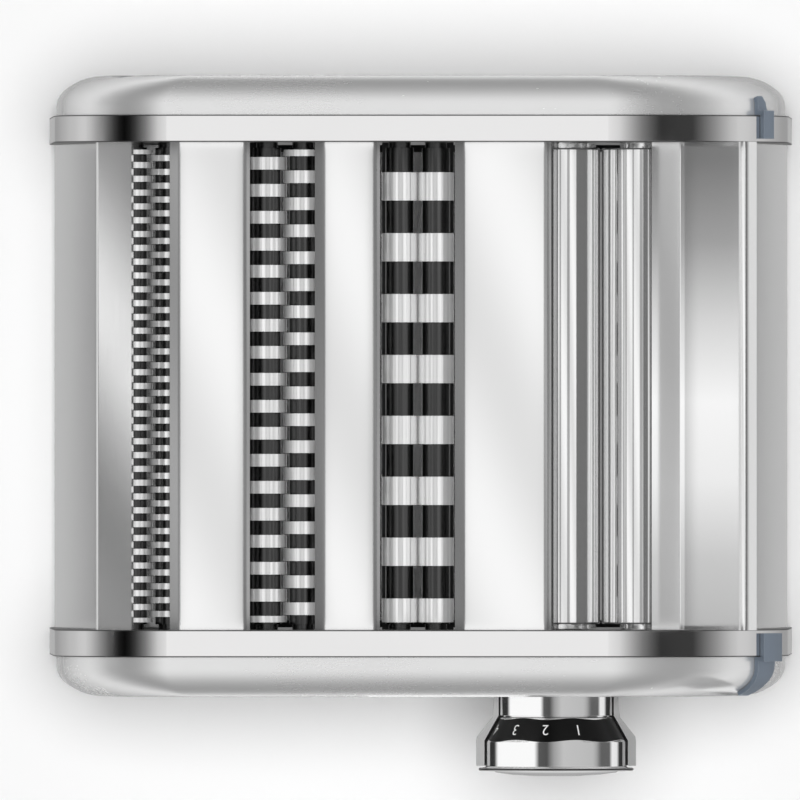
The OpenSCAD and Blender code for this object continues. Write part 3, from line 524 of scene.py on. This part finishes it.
# %% Numerals
NUMERAL_SIZE, NUMERAL_LIFT = 0.0047, 0.00005
INDEX_ANGLE, SETTING_STEP, SETTINGS = 20, 30, 7
NUMERAL_MIDDLE, NUMERAL_THINNING, LONGEST_EDGE = 0.47, -0.00003, 0.0006
white = plastic("numeral_white", (0.9, 0.9, 0.9), 0.4)


def numeral(text, angle):
    curve = bpy.data.curves.new("numeral_" + text, "FONT")
    curve.body = text
    curve.size = NUMERAL_SIZE
    curve.offset = NUMERAL_THINNING
    curve.align_x = "CENTER"
    curve.align_y = "CENTER"
    flat = bpy.data.objects.new("flat_" + text, curve)
    scene.collection.objects.link(flat)
    bpy.context.view_layer.update()
    mesh = bpy.data.meshes.new_from_object(
        flat.evaluated_get(bpy.context.evaluated_depsgraph_get()))
    bpy.data.objects.remove(flat)
    net = bmesh.new()
    net.from_mesh(mesh)
    for _ in range(2):
        long_edges = [e for e in net.edges if e.calc_length() > LONGEST_EDGE]
        bmesh.ops.subdivide_edges(net, edges=long_edges, cuts=1)
    bmesh.ops.triangulate(net, faces=net.faces)
    for v in net.verts:
        along = NUMERAL_MIDDLE + v.co.y / CONE_LENGTH
        r = RING_R0 + (RING_R1 - RING_R0) * along + NUMERAL_LIFT
        a = math.radians(angle) - v.co.x / r
        v.co = (KNOB.x + r * math.sin(a), CONE_NARROW - along * CONE_LENGTH,
                KNOB.z + r * math.cos(a))
    bmesh.ops.recalc_face_normals(net, faces=net.faces)
    net.to_mesh(mesh)
    net.free()
    piece = bpy.data.objects.new("numeral_" + text, mesh)
    scene.collection.objects.link(piece)
    mesh.materials.append(white)
    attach(piece, "knob")
    return piece


numerals = [numeral(str(k + 1), INDEX_ANGLE - SETTING_STEP * k) for k in range(SETTINGS)]
print(len(numerals), "numerals on the number ring")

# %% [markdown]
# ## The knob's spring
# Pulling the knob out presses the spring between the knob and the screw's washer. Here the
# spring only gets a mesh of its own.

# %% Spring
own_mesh(nodes["knob_spring"])

# %% [markdown]
# ## Camera
# The camera looks straight down from far away with a long lens, so the plan stays almost
# parallel, as in a catalogue picture.

# %% Camera
PICTURE = 800
PIXELS_PER_MM = 3.14
MIDDLE_X, MIDDLE_Y = 421, 386
CAMERA_LENS, CAMERA_SENSOR = 1400, 36
camera_data = bpy.data.cameras.new("camera")
camera = bpy.data.objects.new("camera", camera_data)
scene.collection.objects.link(camera)
scene.camera = camera
aim = Vector(((PICTURE / 2 - MIDDLE_X) / PIXELS_PER_MM / 1000,
              (MIDDLE_Y - PICTURE / 2) / PIXELS_PER_MM / 1000, 0.130))
camera_data.lens = CAMERA_LENS
camera_data.sensor_width = CAMERA_SENSOR
view_width = PICTURE / PIXELS_PER_MM / 1000
distance = view_width * CAMERA_LENS / CAMERA_SENSOR
camera.location = aim + Vector((0, 0, distance))
camera_data.clip_start = 1
camera_data.clip_end = 40
print("camera distance", round(distance, 2), "m")

# %% [markdown]
# ## Floor
# A large pale table. It is plain, so that it shows the machine's soft shadow and comes back in
# the metal as a calm, bright lower half.

# %% Floor
FLOOR_SIZE = 6
floor_mesh = bpy.data.meshes.new("floor")
floor_mesh.from_pydata([(-FLOOR_SIZE, -FLOOR_SIZE, 0), (FLOOR_SIZE, -FLOOR_SIZE, 0),
                        (FLOOR_SIZE, FLOOR_SIZE, 0), (-FLOOR_SIZE, FLOOR_SIZE, 0)], [],
                       [(0, 1, 2, 3)])
floor = bpy.data.objects.new("floor", floor_mesh)
scene.collection.objects.link(floor)
floor_paint = bpy.data.materials.new("floor")
floor_paint.use_nodes = True
floor_shader = floor_paint.node_tree.nodes["Principled BSDF"]
floor_shader.inputs["Base Color"].default_value = (0.93, 0.93, 0.93, 1)
floor_shader.inputs["Roughness"].default_value = 0.9
floor_shader.inputs["Specular IOR Level"].default_value = 0.0
floor_mesh.materials.append(floor_paint)
print("floor", 2 * FLOOR_SIZE, "m wide")

# %% [markdown]
# ## Reflector cards
# Polished sheet is lit by what it mirrors. A photographer hangs cards just outside the picture,
# so that each flat plate shows a soft gradient. These cards are seen only by reflections: they
# cast no light or shadow, and no camera sees them. One lies over the plates and rolls, one
# stands at the left for the sloping plate, one stands before the hopper, one lies on the floor,
# where the light falls off next to the machine, and three stand round the knob.

# %% Card helper
PLATES_HALF_WIDTH = 0.0765


def card(name, corners, glow_of):
    """A four-cornered card. glow_of(tree) returns the socket with its brightness."""
    mesh = bpy.data.meshes.new(name)
    mesh.from_pydata(corners, [], [(0, 1, 2, 3)])
    made = bpy.data.objects.new(name, mesh)
    scene.collection.objects.link(made)
    made.visible_camera = made.visible_diffuse = made.visible_shadow = False
    made.visible_transmission = made.visible_volume_scatter = False
    paint = bpy.data.materials.new(name)
    paint.use_nodes = True
    tree = paint.node_tree
    tree.nodes.remove(tree.nodes["Principled BSDF"])
    light = add_node(tree, "ShaderNodeEmission")
    tree.links.new(glow_of(tree), light.inputs["Color"])
    tree.links.new(light.outputs[0], tree.nodes["Material Output"].inputs["Surface"])
    mesh.materials.append(paint)
    return made


def ramp_light(tree, value, steps):
    """Brightness at a length in metres. Steps are (millimetres, brightness), in order."""
    first, last = steps[0], steps[-1]
    span = last[0] - first[0]
    ramp = add_node(tree, "ShaderNodeValToRGB")
    along = math_node(tree, "SUBTRACT", value, first[0] / 1000)
    tree.links.new(math_node(tree, "DIVIDE", along, span / 1000), ramp.inputs[0])
    stops = ramp.color_ramp.elements
    stops[0].color = (first[1],) * 3 + (1,)
    stops[1].color = (last[1],) * 3 + (1,)
    for place, light in steps[1:-1]:
        stops.new((place - first[0]) / span).color = (light, light, light, 1)
    return ramp.outputs[0]


def level_corners(x0, x1, y0, y1, z):
    return [(x0, y0, z), (x1, y0, z), (x1, y1, z), (x0, y1, z)]


def upright_corners(x, y0, y1, foot, top):
    return [(x, y0, foot), (x, y1, foot), (x, y1, top), (x, y0, top)]


print("card helpers ready")


# %% [markdown]
# ### The card over the plates
# A flat plate mirrors the part of this card right above it, so its soft diagonal bands show on
# the plates one to one. It darkens in a soft line over each long edge of a plate, where the
# real sheet begins to roll over, and for the shelf behind the rollers. That shelf leans five
# degrees, so it mirrors the card a little to the left of itself.

# %% Top card
TOP_CARD_X, CARD_HEIGHT = (-0.105, 0.118), 0.175
BAND_SLOPE, BAND_LENGTH, BAND_SHIFT = 2.2, 0.12, 0.98
BAND_MIDDLE, BAND_SWING = 0.86, 0.12
EDGE_SOFTNESS, EDGE_DARK = 0.0042, 0.22
SLOT_LIGHT, SHELF_LIGHT, STEP_BLUR = 0.6, 0.38, 0.0005
edge_lines = [corner.x for name in ("deck_plate_1", "deck_plate_2", "hopper_front_plate")
              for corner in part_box(name)]
slots = [(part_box("left_end_plate")[1].x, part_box("deck_plate_1")[0].x),
         (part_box("deck_plate_1")[1].x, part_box("deck_plate_2")[0].x),
         (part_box("deck_plate_2")[1].x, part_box("hopper_front_plate")[0].x)]
SHELF_SHIFT, SHELF_WIDTH = 0.0087, 0.0095
shelf_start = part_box("hopper_rear_plate")[0].x - SHELF_SHIFT
shelf_end = shelf_start + SHELF_WIDTH


def top_glow(tree):
    x, y, _ = object_place(tree)
    phase = math_node(tree, "DIVIDE", math_node(tree, "MULTIPLY_ADD", x, BAND_SLOPE, y), BAND_LENGTH)
    turn = math_node(tree, "MULTIPLY", math_node(tree, "SUBTRACT", phase, BAND_SHIFT), 2 * math.pi)
    glow = math_node(tree, "MULTIPLY_ADD", math_node(tree, "COSINE", turn), BAND_SWING, BAND_MIDDLE)
    for line in edge_lines:
        away = math_node(tree, "ABSOLUTE", math_node(tree, "SUBTRACT", x, line))
        glow = math_node(tree, "MULTIPLY", glow, between(tree, away, 0, EDGE_SOFTNESS, EDGE_DARK, 1))
    darker = [(start, end, SLOT_LIGHT) for start, end in slots]
    for start, end, light in darker + [(shelf_start, shelf_end, SHELF_LIGHT)]:
        over = math_node(tree, "MULTIPLY", between(tree, x, start - STEP_BLUR, start + STEP_BLUR),
                         between(tree, x, end - STEP_BLUR, end + STEP_BLUR, 1, 0))
        shade = math_node(tree, "MULTIPLY_ADD", over, light - 1, 1.0)
        glow = math_node(tree, "MULTIPLY", glow, shade)
    return glow


card("top_card", level_corners(*TOP_CARD_X, -PLATES_HALF_WIDTH, PLATES_HALF_WIDTH, CARD_HEIGHT),
     top_glow)
print("soft lines over", len(edge_lines), "plate edges, shelf at", round(shelf_start, 4))

# %% [markdown]
# ### The card at the left
# The sloping plate beside the fine cutter mirrors a strip low on the left. The card there is
# bright in a slanting band across its middle and dark at both ends.

# %% Left card
LEFT_CARD_X = -0.4
LEFT_CARD_LOW, LEFT_CARD_HIGH = 0.22, 0.34
SLANT, SLANT_ZERO = 1.3, 0.272
ALONG_SLOPE = [(-95, 0.18), (-72, 0.22), (-55, 0.06), (-32, 0.08), (-6, 0.45), (12, 0.95),
               (26, 1.0), (46, 0.6), (70, 0.18), (95, 0.05)]


def left_glow(tree):
    _, y, z = object_place(tree)
    place = math_node(tree, "MULTIPLY_ADD", math_node(tree, "SUBTRACT", z, SLANT_ZERO), SLANT, y)
    return ramp_light(tree, place, ALONG_SLOPE)


card("left_card", upright_corners(LEFT_CARD_X, -PLATES_HALF_WIDTH, PLATES_HALF_WIDTH,
                                  LEFT_CARD_LOW, LEFT_CARD_HIGH), left_glow)
print("left card at", LEFT_CARD_X, "m")

# %% [markdown]
# ### The card before the hopper
# The hopper's steep slope looks slightly down over the rollers. A small upright card just before
# it hides them, and fades from bright near the middle to dark at the far end. Its back is dark,
# and the rollers mirror that as one thin line each.

# %% Hopper card
HOPPER_CARD_GAP = 0.001
HOPPER_CARD_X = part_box("hopper_rear_plate")[0].x - HOPPER_CARD_GAP
HOPPER_CARD_LOW, HOPPER_CARD_SOFT, HOPPER_CARD_HIGH = 0.1212, 0.1285, 0.142
LOW_EDGE_LIGHT, BEHIND_LIGHT = 0.55, 0.09
ALONG_HOPPER = [(-80, 0.45), (-71, 0.5), (-55, 0.58), (-30, 0.9), (-5, 1.0), (21, 0.68), (46, 0.3),
                (72, 0.12), (80, 0.11)]


def hopper_glow(tree):
    _, y, z = object_place(tree)
    low_edge = between(tree, z, HOPPER_CARD_LOW, HOPPER_CARD_SOFT, LOW_EDGE_LIGHT, 1.0)
    glow = math_node(tree, "MULTIPLY", ramp_light(tree, y, ALONG_HOPPER), low_edge)
    behind = add_node(tree, "ShaderNodeNewGeometry").outputs["Backfacing"]
    front = math_node(tree, "SUBTRACT", 1.0, behind)
    return math_node(tree, "MAXIMUM", math_node(tree, "MULTIPLY", glow, front), BEHIND_LIGHT)


card("hopper_card", upright_corners(HOPPER_CARD_X, -PLATES_HALF_WIDTH, PLATES_HALF_WIDTH,
                                    HOPPER_CARD_LOW, HOPPER_CARD_HIGH), hopper_glow)
print("hopper card at", round(HOPPER_CARD_X, 4), "m")

# %% [markdown]
# ### The card on the floor
# Steep sides mirror the floor. Close to the machine less light reaches it, so the card there
# is grey, and it brightens outwards until it meets the pale walls at the horizon. A darker patch
# beside each end plate gives the folded sheets there their gradient.

# %% Floor card
NEAR_FLOOR = [(0, 0.50), (20, 0.36), (50, 0.38), (100, 0.47), (200, 0.58), (550, 0.68),
              (1000, 0.70)]
FLOOR_CARD_Z = 0.001
PATCH_HALF_WIDTH, PATCH_END = 0.074, 0.079
PATCH_START, PATCH_FULL, PATCH_FADE, PATCH_GONE = 0.004, 0.03, 0.05, 0.10
PATCH_SHADE = -0.5
machine_half_x, machine_half_y = cad_high.x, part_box("cover_crank_side")[1].y


def floor_glow(tree):
    x, y, _ = object_place(tree)
    beside = math_node(tree, "SUBTRACT", math_node(tree, "ABSOLUTE", x), machine_half_x)
    before = math_node(tree, "SUBTRACT", math_node(tree, "ABSOLUTE", y), machine_half_y)
    away = math_node(tree, "MAXIMUM", beside, before)
    floor_light = ramp_light(tree, away, NEAR_FLOOR)
    across = between(tree, math_node(tree, "ABSOLUTE", y), PATCH_HALF_WIDTH, PATCH_END, 1, 0)
    patch = math_node(tree, "MULTIPLY", between(tree, away, PATCH_START, PATCH_FULL),
                      between(tree, away, PATCH_FADE, PATCH_GONE, 1, 0))
    shade = math_node(tree, "MULTIPLY", math_node(tree, "MULTIPLY", across, patch), PATCH_SHADE)
    return math_node(tree, "MULTIPLY", floor_light, math_node(tree, "ADD", shade, 1.0))


card("floor_card", level_corners(-FLOOR_SIZE, FLOOR_SIZE, -FLOOR_SIZE, FLOOR_SIZE, FLOOR_CARD_Z),
     floor_glow)
print("floor card fades over", NEAR_FLOOR[-1][0], "mm")

# %% [markdown]
# ### Cards round the knob
# A turned chrome drum shows its surroundings squeezed into upright streaks, so it looks best
# between three small cards: one just above it, half white and half grey with a dark gap near
# the middle, and one at each side that turns black towards the floor. They lie lower than the
# cover's rounded edge, which therefore never mirrors them.

# %% Knob cards
KNOB_CARD_Z, KNOB_CARD_FOOT, KNOB_CARD_REACH = 0.134, 0.02, 0.06
knob_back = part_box("dial_collar")[1].y
OVER_KNOB = [(-60, 1.0), (-10.5, 1.0), (-8, 0.10), (-4, 0.08), (-1, 0.35), (3, 0.55), (25, 0.5),
             (45, 0.2), (60, 0.12)]
RIGHT_OF_KNOB = [(20, 0.03), (88, 0.03), (97, 0.8), (110, 0.85), (116, 0.12), (134, 0.12)]
LEFT_OF_KNOB = [(20, 0.03), (94, 0.03), (104, 1.0), (134, 1.0)]


def streaks(axis, steps, zero=0.0):
    """A brightness function with one ramp along X (0) or Z (2), measured from zero."""
    def glow(tree):
        return ramp_light(tree, math_node(tree, "SUBTRACT", object_place(tree)[axis], zero), steps)
    return glow


knob_left, knob_right = KNOB.x - KNOB_CARD_REACH, KNOB.x + KNOB_CARD_REACH
card("knob_card_over", level_corners(knob_left, knob_right, FACE_END, knob_back, KNOB_CARD_Z),
     streaks(0, OVER_KNOB, KNOB.x))
for name, x, steps in (("knob_card_left", knob_left, LEFT_OF_KNOB),
                       ("knob_card_right", knob_right, RIGHT_OF_KNOB)):
    card(name, upright_corners(x, FACE_END, knob_back, KNOB_CARD_FOOT, KNOB_CARD_Z),
         streaks(2, steps))
print("knob cards from", round(FACE_END, 4), "to", round(knob_back, 4))

# %% [markdown]
# ## Studio light
# Polished metal shows its surroundings, so the world is drawn as a studio: a bright lamp
# overhead, a dark ring of unlit ceiling round it, and pale walls lower down. One ramp over the
# angle from straight up holds all of it, and a faint fill keeps the right side from going black.
# A soft sun lights only matt surfaces and the floor. Sampling it from the lamp alone keeps the
# half-matt covers free of bright specks.

# %% World
STUDIO = [(0, 1.02), (4, 0.92), (8, 0.76), (12, 0.58), (17, 0.38), (22, 0.22), (28, 0.11),
          (33, 0.045), (38, 0.014), (44, 0.003), (50, 0.012), (56, 0.05), (62, 0.13),
          (68, 0.23), (74, 0.34), (80, 0.47), (86, 0.60), (92, 0.68)]
RIGHT_FILL, FILL_START, FILL_END = 0.05, 0.1, 0.8
SUN_STRENGTH, SUN_ANGLE, SUN_HEIGHT = 2.6, 24, 2


def studio_world():
    world = bpy.data.worlds.new("studio")
    scene.world = world
    world.use_nodes = True
    tree = world.node_tree
    place = add_node(tree, "ShaderNodeTexCoord")
    split = add_node(tree, "ShaderNodeSeparateXYZ")
    tree.links.new(place.outputs["Generated"], split.inputs[0])
    angle = math_node(tree, "ARCCOSINE", split.outputs["Z"])
    ramp = add_node(tree, "ShaderNodeValToRGB")
    tree.links.new(math_node(tree, "DIVIDE", angle, math.pi), ramp.inputs[0])
    stops = ramp.color_ramp.elements
    for stop, (degrees, light) in zip((stops[0], stops[1]), (STUDIO[0], STUDIO[-1])):
        stop.position = degrees / 180
        stop.color = (light, light, light, 1)
    for degrees, light in STUDIO[1:-1]:
        stops.new(degrees / 180).color = (light, light, light, 1)
    fill = add_node(tree, "ShaderNodeMix", data_type="RGBA", blend_type="LIGHTEN")
    fill.inputs[0].default_value = 1.0
    side = between(tree, split.outputs["X"], FILL_START, FILL_END, 0.0, RIGHT_FILL)
    tree.links.new(ramp.outputs[0], fill.inputs[6])
    tree.links.new(side, fill.inputs[7])
    tree.links.new(fill.outputs[2], tree.nodes["Background"].inputs["Color"])


studio_world()
sun_data = bpy.data.lights.new("overhead", "SUN")
sun_data.energy = SUN_STRENGTH
sun_data.angle = math.radians(SUN_ANGLE)
sun_data.cycles.use_multiple_importance_sampling = False
sun = bpy.data.objects.new("overhead", sun_data)
sun.location = (0, 0, SUN_HEIGHT)
sun.visible_glossy = False
scene.collection.objects.link(sun)
print("studio with", len(STUDIO), "steps of light and one soft sun")
